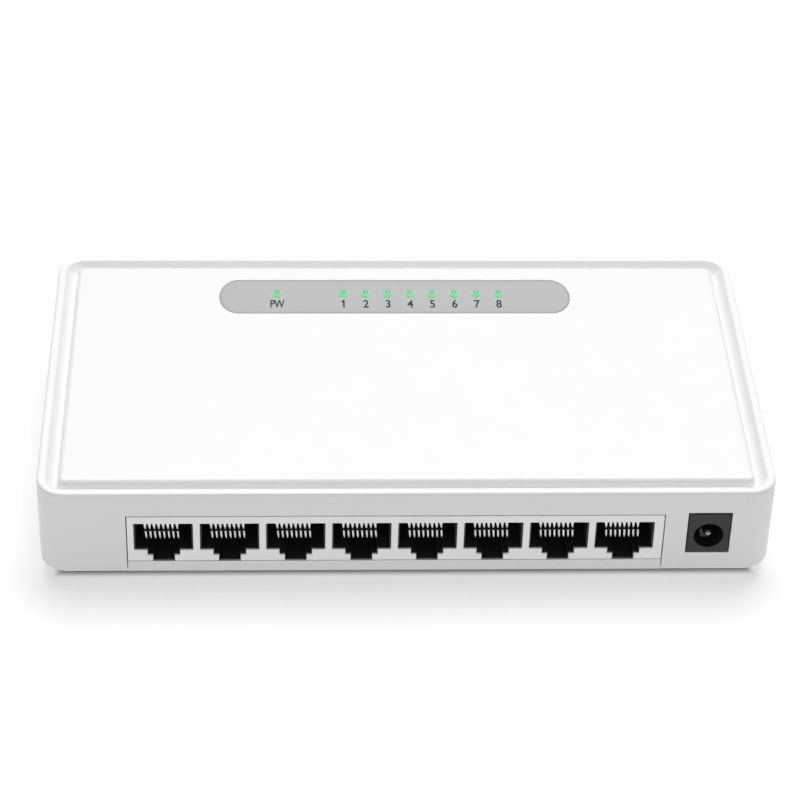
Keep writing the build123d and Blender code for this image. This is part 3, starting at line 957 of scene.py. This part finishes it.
@dataclass
class LampRow:
    """The nine light guides, their lit ends and the marks below them."""

    count: int = 8
    gap: int = 3
    radius: float = 0.95 * MM
    tip: float = 0.85 * MM
    mark_drop: float = 3.75 * MM
    mark_height: float = 2.35 * MM
    mark_thickness: float = 0.03 * MM
    mark_boldness: float = 0.07 * MM
    mark_stretch: float = 1.25
    word_width: float = 0.66
    digit_width: float = 0.8
    attribute: str = "reach"
    lamps: Span = field(default_factory=lambda: Span.of("indicator_leds"))
    label: Span = field(default_factory=lambda: Span.of("indicator_label"))
    guide: Span = field(default_factory=lambda: Span.of("light_guide"))
    bar_height: float = 1.6 * MM
    bar_below: float = 2.0 * MM
    lamp_side: float = 2.0 * MM
    guide_sides: int = 28
    letter_share: float = 0.7
    letter_gap: float = 0.9
    hole_gap: float = 0.05 * MM
    hole_steps: int = 16
    flag: tuple[tuple[float, float], ...] = ((0.1, 1.5), (-0.2, 1.5), (-0.6, 1.05), (-0.6, 0.65), (0.1, 1.1))

    @property
    def line(self) -> float:
        """The row's place along Y."""
        return float(self.lamps.middle[1])

    @property
    def places(self) -> np.ndarray:
        """The lamps' places along X: one, a gap, and then the numbered ones at an even pitch."""
        half = self.lamp_side / 2
        first, last = self.lamps.low[0] + half, self.lamps.high[0] - half
        pitch = (last - first) / (self.count - 1 + self.gap)
        return np.concatenate([[first], first + pitch * (self.gap + np.arange(self.count))])

    def guides(self, finish: bpy.types.Material) -> bpy.types.Object:
        """The comb of light guides: a bar and nine posts with round tips that stand over the label.

        A post is turned from a profile: its radius stays the same up to the tip, and there a quarter of an
        ellipse carries it up and in to the axis.

        Args:
            finish: the lit guides' finish.

        Returns:
            The piece.
        """
        bulge = np.linspace(0, math.pi / 2, 9)
        low, top = self.guide.low[2], self.guide.high[2] - self.tip
        radii = np.concatenate([[0.0, self.radius], self.radius * np.cos(bulge)])
        heights = np.concatenate([[low, low], top + self.tip * np.sin(bulge)])
        turn = np.linspace(0, 2 * math.pi, self.guide_sides, endpoint=False)
        parts = []
        for x in self.places:
            ring = np.stack(
                [
                    x + radii[:, None] * np.cos(turn),
                    self.line + radii[:, None] * np.sin(turn),
                    np.repeat(heights[:, None], len(turn), 1),
                ],
                -1,
            )
            parts.append((ring.reshape(-1, 3), grid_faces(len(radii), len(turn)).tolist()))
        high = self.label.high[2] - self.bar_below
        bar = (
            np.array([self.guide.low[0], self.guide.low[1], high - self.bar_height]),
            np.array([self.guide.high[0], self.guide.high[1], high]),
        )
        parts.append(boxes([bar]))
        piece = make_piece("light_guides", *merge(parts), finish)
        points = np.zeros(len(piece.data.vertices) * 3)
        piece.data.vertices.foreach_get("co", points)
        points = points.reshape(-1, 3)
        away = np.abs(points[:, None, 0] - self.places[None]).min(1)
        reach = np.hypot(away, points[:, 1] - self.line) / self.radius
        layer = piece.data.attributes.new(self.attribute, "FLOAT", "POINT")
        layer.data.foreach_set("value", np.clip(reach, 0, 1).astype(np.float32))
        return piece

    def film(self, finish: bpy.types.Material) -> bpy.types.Object:
        """The grey label: a plate with half-elliptical ends and a hole for each guide.

        Args:
            finish: the label's film.

        Returns:
            The piece.
        """
        size, middle = self.label.size, self.label.middle
        outline = lozenge(middle[:2], size[:2], CoverShell.label_end)
        plate = make_piece("label_film", *prism(outline, self.label.low[2], self.label.high[2]), finish)
        holes = []
        for x in self.places:
            circle = hole_outline((x, self.line), self.radius + self.hole_gap, self.hole_steps)
            holes.append(prism(circle, self.label.low[2] - MM, self.label.high[2] + MM))
        cut_away(plate, *merge(holes))
        soften(plate, Edge.CRISP)
        return plate

    def marks(self, finish: bpy.types.Material) -> bpy.types.Object:
        """The printed marks under the lamps: PW for power and the ports' numbers.

        The typeface's 1 has no flag, so a small prism gives it one.

        Args:
            finish: the ink.

        Returns:
            The piece.
        """
        made = []
        level = self.label.high[2]
        for text, x in zip(["PW", *map(str, range(1, self.count + 1))], self.places):
            curve = bpy.data.curves.new("mark", "FONT")
            curve.body = text
            curve.size = self.mark_height / self.letter_share
            curve.align_x = "CENTER"
            curve.align_y = "CENTER"
            curve.extrude = self.mark_thickness / 2
            curve.offset = self.mark_boldness
            curve.space_character = self.letter_gap
            holder = bpy.data.objects.new("mark", curve)
            bpy.context.scene.collection.objects.link(holder)
            bpy.context.view_layer.update()
            graph = bpy.context.evaluated_depsgraph_get()
            flat = bpy.data.meshes.new_from_object(holder.evaluated_get(graph))
            bpy.data.objects.remove(holder)
            wide = self.word_width if len(text) > 1 else self.digit_width
            scale = Matrix.Diagonal((wide, self.mark_stretch, 1.0, 1.0))
            flat.transform(Matrix.Translation((x, self.line - self.mark_drop, level)) @ scale)
            made.append(flat)
        outline = np.array(self.flag) * MM + [self.places[1], self.line - self.mark_drop]
        flag = prism(outline, level, level + self.mark_thickness / 2)
        mark = bpy.data.meshes.new("flag")
        mark.from_pydata(flag[0].tolist(), [], flag[1])
        made.append(mark)
        joined = bmesh.new()
        for flat in made:
            joined.from_mesh(flat)
        mesh = bpy.data.meshes.new("lamp_marks")
        joined.to_mesh(mesh)
        joined.free()
        mesh.materials.append(finish)
        piece = bpy.data.objects.new("lamp_marks", mesh)
        bpy.context.scene.collection.objects.link(piece)
        return piece


@dataclass
class PortFront:
    """The bezel plate round the eight openings, with the hooked rail that holds it behind the cover."""

    count: int = 8
    pitch: float = 13.97 * MM
    window_width: float = 12.5 * MM
    window_height: float = 7.1 * MM
    step_width: float = 6.9 * MM
    step_height: float = 1.4 * MM
    latch_width: float = 4.6 * MM
    latch_height: float = 1.63 * MM
    left_margin: float = 1.4 * MM
    thickness: float = 0.5 * MM
    top_margin: float = 1.9 * MM
    rail: float = 0.8 * MM
    rail_drop: float = 0.2 * MM
    hook: float = 1.0 * MM
    plate: Span = field(default_factory=lambda: Span.of("port_bezel"))

    @property
    def places(self) -> np.ndarray:
        """The ports' places along X."""
        first = self.plate.low[0] + self.left_margin + self.window_width / 2
        return first + self.pitch * np.arange(self.count)

    def build(self, finish: bpy.types.Material) -> bpy.types.Object:
        """Make the plate from the cells between its openings' edges.

        Args:
            finish: the bezel's plastic.

        Returns:
            The piece.
        """
        low = self.plate.low[2]
        levels = np.cumsum([low, self.latch_height, self.step_height, self.window_height, self.top_margin])
        halves = np.array([-self.window_width, -self.step_width, -self.latch_width]) / 2
        offsets = np.concatenate([halves, -halves[::-1]])
        inner = (self.places[:, None] + offsets).ravel()
        xs = np.concatenate([[self.plate.low[0]], inner, [self.plate.high[0]]])
        middle = (xs[:-1] + xs[1:]) / 2
        away = np.abs(middle[:, None] - self.places).min(1)
        widths = np.array([self.latch_width, self.step_width, self.window_width, -1.0]) / 2
        kept = away[None] > widths[:, None]
        back = self.plate.low[1] + self.thickness
        plate = cell_plate(xs, levels, kept, self.plate.low[1], back)
        rails = boxes(self.rails(float(levels[-1]), back))
        piece = make_piece("bezel_plate", *merge([plate, rails]), finish)
        soften(piece, Edge.MOULDED)
        return piece

    def rails(self, top: float, back: float) -> list[tuple[np.ndarray, np.ndarray]]:
        """The boxes of the rail behind the plate and of its upright hook.

        Args:
            top: the plate's upper edge.
            back: the plate's back face.

        Returns:
            The lowest and highest corner of each box.
        """
        left, right, far = self.plate.low[0], self.plate.high[0], self.plate.high[1]
        spans = [
            ((left, back, top - self.rail), (right, far - self.hook, top - self.rail_drop)),
            ((left, far - self.hook, top - self.rail), (right, far, self.plate.high[2])),
        ]
        return [(np.array(low), np.array(high)) for low, high in spans]


@dataclass
class ContactSet:
    """One port's eight sprung contacts: flared at the top, waisted in the comb, and pointed below it."""

    number: int
    wires: int = 8
    pitch: float = 0.97 * MM
    radius: float = 0.23 * MM
    slope: float = 86.0
    run: float = 4.6 * MM
    tip: float = 0.45 * MM
    flare: float = 0.35 * MM
    waist: float = 0.17 * MM
    belly: float = 0.22 * MM
    point: float = 0.07 * MM
    lean: float = 0.07
    steps: int = 40
    stops: tuple[float, ...] = (0.0, 0.1, 0.17, 0.43, 0.54, 0.68, 0.88, 1.0)
    thick_stops: tuple[float, ...] = (0, 0.1, 0.5, 0.95, 1.0)
    thicknesses: tuple[float, ...] = (0.1, 0.2, 0.17, 0.15, 0.06)

    @property
    def node(self) -> str:
        """The frame node that the set stands for."""
        return f"contact_springs_{self.number}"

    def build(self, finish: bpy.types.Material) -> bpy.types.Object:
        """Make the eight wires.

        The middle line goes straight down its slope for run and upright for tip, and leans a little to
        one side. The half width goes from stop to stop along it: flare, waist, belly and point. The
        thicknesses are half ones, in millimetres, at their own stops.

        Args:
            finish: the contacts' plating.

        Returns:
            The piece.
        """
        span = Span.of(self.node)
        angle = math.radians(self.slope)
        start = np.array([0.0, span.low[1] + self.radius, span.high[2] - self.radius])
        down = np.array([0.0, math.cos(angle), -math.sin(angle)])
        along = np.linspace(0, 1, self.steps)
        length = self.run + self.tip
        reach = along * length
        straight = start + np.minimum(reach, self.run)[:, None] * down
        path = straight + np.maximum(reach - self.run, 0)[:, None] * np.array([0.0, 0.0, -1.0])
        path[:, 0] += self.lean * (reach - length / 2)
        width = np.array(
            [self.radius, self.flare, self.flare, self.waist, self.waist, self.belly, self.belly, self.point]
        )
        across = np.interp(along, self.stops, width)
        across[1:-1] = (across[:-2] + across[1:-1] + across[2:]) / 3
        thick = np.interp(along, self.thick_stops, np.array(self.thicknesses) * MM)
        middle = span.middle[0]
        offsets = (np.arange(self.wires) - (self.wires - 1) / 2) * self.pitch
        parts = [tube(path + np.array([middle + offset, 0, 0]), across, thick) for offset in offsets]
        return make_piece(f"contact_wires_{self.number}", *merge(parts), finish, sharp=60.0)


@dataclass
class PowerInlet:
    """The power inlet's centre pin, turned from a profile about an axis along Y."""

    nose: float = 1.5 * MM
    radius: float = 1.05 * MM
    root: float = 1.4 * MM
    bore_depth: float = 9.6 * MM
    sides: int = 32
    housing: Span = field(default_factory=lambda: Span.of("inlet_housing"))
    pin: Span = field(default_factory=lambda: Span.of("inlet_pin"))

    def centre_pin(self, finish: bpy.types.Material) -> bpy.types.Object:
        """Make the pin: a nose that is half an ellipse long, a straight shank and a thicker root.

        Args:
            finish: the pin's plating.

        Returns:
            The piece.
        """
        bulge = np.linspace(0, math.pi / 2, 12)
        start, shoulder = self.pin.low[1], self.housing.low[1] + self.bore_depth
        nose = np.column_stack([self.radius * np.sin(bulge), start + self.nose * (1 - np.cos(bulge))])
        end = self.pin.high[1]
        shank = [(self.radius, shoulder), (self.root, shoulder), (self.root, end), (0.0, end)]
        profile = np.concatenate([nose, shank])
        turn = np.linspace(0, 2 * math.pi, self.sides, endpoint=False)
        middle = self.pin.middle
        ring = np.stack(
            [
                middle[0] + profile[:, :1] * np.cos(turn),
                np.repeat(profile[:, 1:], self.sides, 1),
                middle[2] + profile[:, :1] * np.sin(turn),
            ],
            -1,
        )
        faces = grid_faces(len(profile), self.sides).tolist()
        return make_piece("centre_pin", ring.reshape(-1, 3), faces, finish)


@dataclass
class Finishes:
    """Every finish of the switch, by its slot in the record."""

    label: Span = field(default_factory=lambda: Span.of("indicator_label"))

    def build(self) -> dict[str, bpy.types.Material]:
        """Make all the materials.

        Returns:
            Materials by slot name.
        """
        size, middle = self.label.size, self.label.middle
        film = PrintedFilm(
            "label_film",
            colour=(0.44, 0.44, 0.445),
            # the darker rim colour is painted shade along the label's edge
            rim_shade_colour=(0.36, 0.36, 0.365),
            centre=(float(middle[0]), float(middle[1])),
            straight=float(size[0]) / 2 - CoverShell.label_end,
            stretch=float(size[1]) / 2 / CoverShell.label_end,
            radius=float(size[1]) / 2,
            rim=0.9 * MM,
        )
        plastics = [
            MouldedPlastic("case_white", (0.86, 0.86, 0.86), 0.34, mottling=0.006, specular=0.45),
            MouldedPlastic("bezel_white", (0.97, 0.96, 0.945), 0.36, mottling=0.008),
            MouldedPlastic("jack_black", (0.035, 0.035, 0.037), 0.5, mottling=0.15, specular=0.35),
            # the combs' near-black is darker than the housing plastic: painted shade between the contact
            # rows
            MouldedPlastic("comb_shade_black", (0.008, 0.008, 0.008), 0.8, mottling=0.15, specular=0.1),
            MouldedPlastic("inlet_black", (0.024, 0.024, 0.027), 0.5, mottling=0.08, specular=0.4),
            MouldedPlastic("chip_black", (0.02, 0.02, 0.021), 0.55, mottling=0.1),
            MouldedPlastic("lamp_resin", (0.35, 0.8, 0.45), 0.2, mottling=0.03),
            MouldedPlastic("ferrite_grey", (0.09, 0.09, 0.095), 0.6, mottling=0.12),
            MouldedPlastic("foot_rubber", (0.03, 0.03, 0.03), 0.75, grain_depth=0.02 * MM, mottling=0.15),
            MouldedPlastic("ceramic_dark", (0.04, 0.04, 0.045), 0.3, mottling=0.1),
            MouldedPlastic("ceramic_tan", (0.45, 0.34, 0.2), 0.4, mottling=0.08),
        ]
        metals = [
            PlatedMetal("contact_metal", (0.98, 0.97, 0.94), 0.42, stretch=(1.0, 1.0, 8.0), metallic=0.6),
            PlatedMetal("pin_metal", (0.3, 0.3, 0.31), 0.16, stretch=(1.0, 12.0, 1.0)),
            PlatedMetal("tinned_metal", (0.75, 0.75, 0.74), 0.4),
            PlatedMetal("can_metal", (0.8, 0.8, 0.81), 0.3, stretch=(1.0, 1.0, 10.0)),
            PlatedMetal("crystal_metal", (0.78, 0.78, 0.78), 0.28),
            PlatedMetal("screw_steel", (0.66, 0.66, 0.67), 0.35),
        ]
        made = {finish.name: finish.material() for finish in [*plastics, *metals]}
        made["label_grey"] = film.material()
        made["clear_guide"] = LitGuide(
            "clear_guide", LampRow.attribute, (0.03, 0.45, 0.12), (0.3, 0.8, 0.4), 0.42
        ).material()
        made["board_green"] = SolderMask(
            "board_green", (0.02, 0.13, 0.05), (0.05, 0.24, 0.1), 0.5 * MM
        ).material()
        made["ink"] = Ink("ink", (0.012, 0.012, 0.016)).material()
        return made

    @staticmethod
    def dress_nodes(materials: dict[str, bpy.types.Material]) -> None:
        """Give each frame node its slot's finish, except the contact combs, which get a near-black that
        paints the shade between the contact rows.

        Args:
            materials: materials by slot name.
        """
        slots = {part["node"]: part["material_slot"] for part in frame["record"]["subparts"]}
        for name, node in frame["nodes"].items():
            node.data.materials.clear()
            # the combs get a near-black that paints the shade between the contact rows
            finish = "comb_shade_black" if name.startswith("contact_comb") else slots[name]
            node.data.materials.append(materials[finish])
            LOG.info("%s: frame mesh in %s", name, finish)


@dataclass
class Studio:
    """The floor, the lights and the camera."""

    floor_side: float = 6.0
    table_glow: float = 0.5
    # where the painted contact shadow under the object starts, and how wide it fades
    shade_inset: float = 2.2 * MM
    shade_width: float = 2.5 * MM
    camera_place: tuple[float, float, float] = (-26.6 * MM, -497.5 * MM, 394.6 * MM)
    pitch: float = 37.23
    yaw: float = 3.04
    roll: float = 1.74
    lens: float = 125.8
    sensor: float = 36.0
    side_level: float = 0.03
    front_level: float = 0.85
    front_focus: float = 6.0
    top_level: float = 0.22
    table_dark: float = 0.49
    table_light: float = 0.51
    overhead_place: tuple[float, float, float] = (0.12, 0.6, 1.8)
    overhead_side: float = 1.5
    overhead_power: float = 42.0

    def floor(self) -> bpy.types.Object:
        """Lay the pale floor, which glows like a light table as well as being lit from above; the glow is
        cut away beneath the object as a painted contact shadow.

        Returns:
            The floor.
        """
        half = self.floor_side / 2
        corners = np.array([[-half, -half, 0], [half, -half, 0], [half, half, 0], [-half, half, 0]])
        graph = ShaderGraph("floor_pale")
        colour = graph.blend(graph.noise(2.0), (self.table_dark,) * 3, (self.table_light,) * 3)
        graph.join(colour, graph.shader.inputs["Base Color"])
        graph.shader.inputs["Emission Color"].default_value = (1.0, 1.0, 1.0, 1.0)
        # the glow is cut away under the object as a painted contact shadow
        graph.join(self.glow_with_painted_shadow(graph), graph.shader.inputs["Emission Strength"])
        graph.shader.inputs["Roughness"].default_value = 0.8
        graph.shader.inputs["Specular IOR Level"].default_value = 0.2
        floor = make_piece("floor", corners, [[0, 1, 2, 3]], graph.material)
        return floor

    def glow_with_painted_shadow(self, graph: ShaderGraph) -> bpy.types.NodeSocket:
        """How strongly the table glows: full beside the object and nought beneath it, so that the dark under
        the object's edge is a painted contact shadow.

        It follows the greater of a point's distances past the object's sides in plan. The glow starts
        shade_inset inside the sides and fades out over shade_width further in.

        Args:
            graph: the floor's tree.

        Returns:
            The strength.
        """
        parts = graph.add("SeparateXYZ")
        graph.join(graph.place(), parts.inputs["Vector"])
        past = []
        for axis, half in zip("XY", CAD_BOX[1]):
            aside = graph.add("Math", operation="ABSOLUTE")
            graph.join(parts.outputs[axis], aside.inputs[0])
            past.append(graph.add("Math", operation="SUBTRACT"))
            graph.join(aside.outputs[0], past[-1].inputs[0])
            past[-1].inputs[1].default_value = float(half)
        most = graph.add("Math", operation="MAXIMUM")
        graph.join(past[0].outputs[0], most.inputs[0])
        graph.join(past[1].outputs[0], most.inputs[1])
        band = graph.add("MapRange", interpolation_type="SMOOTHSTEP")
        band.inputs["From Min"].default_value = -self.shade_inset - self.shade_width
        band.inputs["From Max"].default_value = -self.shade_inset
        band.inputs["To Max"].default_value = self.table_glow
        graph.join(most.outputs[0], band.inputs["Value"])
        return band.outputs["Result"]

    def softbox(self, name: str, place: tuple[float, ...], size: float, power: float) -> None:
        """Hang an area light that faces the object.

        Args:
            name: the light's name.
            place: where it is, in metres.
            size: its side.
            power: in watts.
        """
        light = bpy.data.lights.new(name, "AREA")
        light.size = size
        light.energy = power
        holder = bpy.data.objects.new(name, light)
        holder.location = place
        holder.rotation_mode = "QUATERNION"
        holder.rotation_quaternion = (-Vector(place)).to_track_quat("-Z", "Y")
        bpy.context.scene.collection.objects.link(holder)

    def sky(self) -> None:
        """Make the room round the table: pale in front, dim behind, and dark to the sides.

        The brightness is the side level, plus the front level times how far a direction points to -Y
        raised to the front focus, plus the top level times how far it points up.
        """
        world = bpy.data.worlds.new("studio")
        world.use_nodes = True
        tree = world.node_tree
        background = tree.nodes["Background"]
        background.inputs["Color"].default_value = (1.0, 1.0, 1.0, 1.0)
        parts = tree.nodes.new("ShaderNodeSeparateXYZ")
        tree.links.new(tree.nodes.new("ShaderNodeTexCoord").outputs["Generated"], parts.inputs["Vector"])

        def step(operation: str, value: bpy.types.NodeSocket, amount: float) -> bpy.types.NodeSocket:
            """Work out one operation on a value and a fixed amount."""
            node = tree.nodes.new("ShaderNodeMath")
            node.operation = operation
            node.inputs[1].default_value = amount
            tree.links.new(value, node.inputs[0])
            return node.outputs[0]

        forward = step("MAXIMUM", step("MULTIPLY", parts.outputs["Y"], -1.0), 0.0)
        front = step("MULTIPLY", step("POWER", forward, self.front_focus), self.front_level)
        above = step("MULTIPLY", step("MAXIMUM", parts.outputs["Z"], 0.0), self.top_level)
        both = step("ADD", front, 0.0)
        tree.links.new(above, both.node.inputs[1])
        tree.links.new(step("ADD", both, self.side_level), background.inputs["Strength"])
        bpy.context.scene.world = world

    def lights(self) -> None:
        """Light the scene: the room, and a large softbox overhead, a little behind on the right."""
        self.sky()
        self.softbox("overhead", self.overhead_place, self.overhead_side, self.overhead_power)

    def camera(self) -> None:
        """Set the camera: its right and up axes are turned by the roll about where it looks."""
        e, yaw, roll = (math.radians(v) for v in (self.pitch, self.yaw, self.roll))
        ahead = Vector((math.sin(yaw) * math.cos(e), math.cos(yaw) * math.cos(e), -math.sin(e)))
        right = Vector((math.cos(yaw), -math.sin(yaw), 0.0))
        up = right.cross(ahead)
        turned = right * math.cos(roll) + up * math.sin(roll)
        top = up * math.cos(roll) - right * math.sin(roll)
        data = bpy.data.cameras.new("camera")
        data.lens = self.lens
        data.sensor_width = self.sensor
        data.clip_start = 0.01
        data.clip_end = 50.0
        camera = bpy.data.objects.new("camera", data)
        bpy.context.scene.collection.objects.link(camera)
        turn = Matrix((turned, top, -ahead)).transposed().to_4x4()
        camera.matrix_world = Matrix.Translation(self.camera_place) @ turn
        bpy.context.scene.camera = camera

    def build(self) -> None:
        """Make the floor, the lights and the camera."""
        self.camera()
        self.floor()
        self.lights()
        bpy.context.scene.view_settings.view_transform = "Standard"


@dataclass
class NetworkSwitch:
    """The whole object, sub-assembly by sub-assembly."""

    materials: dict[str, bpy.types.Material] = field(default_factory=dict)

    def build(self) -> None:
        """Make every piece and fix it to its body."""
        self.materials = Finishes().build()
        Finishes.dress_nodes(self.materials)
        lamps = LampRow()
        shell = CoverShell(lamps=lamps).build(self.materials["case_white"])
        settle(shell, CASE, "case_white", "top_cover")
        settle(lamps.film(self.materials["label_grey"]), CASE, "label_grey", "indicator_label")
        settle(lamps.guides(self.materials["clear_guide"]), CASE, "clear_guide", "light_guide")
        settle(lamps.marks(self.materials["ink"]), CASE, "label_grey")
        settle(PortFront().build(self.materials["bezel_white"]), CASE, "bezel_white", "port_bezel")
        settle(PowerInlet().centre_pin(self.materials["pin_metal"]), CASE, "pin_metal", "inlet_pin")
        for number in range(1, PortFront.count + 1):
            wires = ContactSet(number)
            piece = wires.build(self.materials["contact_metal"])
            settle(piece, f"contacts_{number}", "contact_metal", wires.node)


def main() -> None:
    """Build the switch and its studio."""
    logging.basicConfig(level=logging.INFO, format="%(message)s")
    Studio().build()
    NetworkSwitch().build()


if __name__ == "__main__":
    main()
